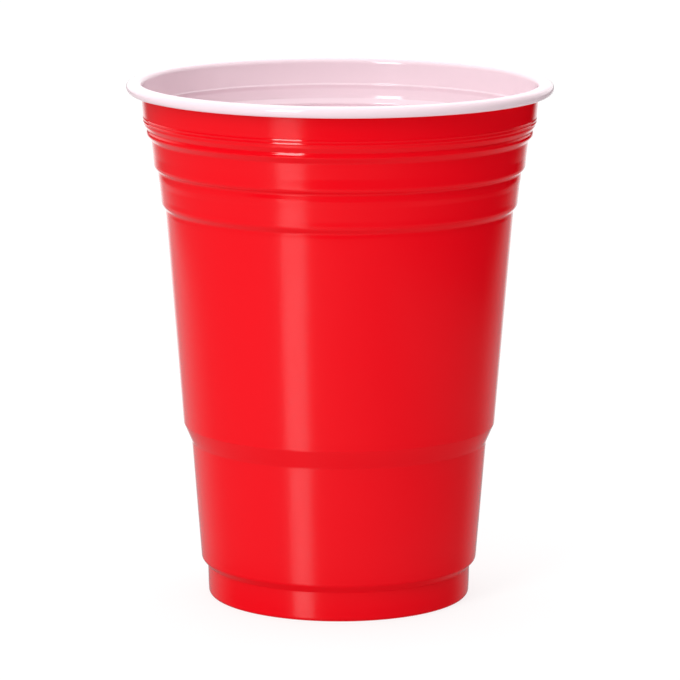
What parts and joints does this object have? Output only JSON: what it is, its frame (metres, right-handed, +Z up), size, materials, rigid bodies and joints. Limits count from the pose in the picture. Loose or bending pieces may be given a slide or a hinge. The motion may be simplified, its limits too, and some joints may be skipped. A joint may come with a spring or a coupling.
{
  "type": "plastic party cup",
  "caption": "Tall tapered plastic party cup, red outside and white inside, with a rolled lip, stepped bands under it, a chamfer low on the wall and a plain foot.",
  "frame": {"origin": "middle of the foot's contact ring, on the surface that the cup stands on", "axes": "+Z up along the cup's axis, from the foot to the lip; the cup is round, so X and Y are free"},
  "size_m": [0.096, 0.096, 0.1174],
  "materials": {
    "two_colour_polystyrene": "gloss red on the outer skin, white with a soft gloss on the inner skin and the lip"
  },
  "bodies": {
    "root": {"cup": "two_colour_polystyrene"}
  },
  "joints": []
}
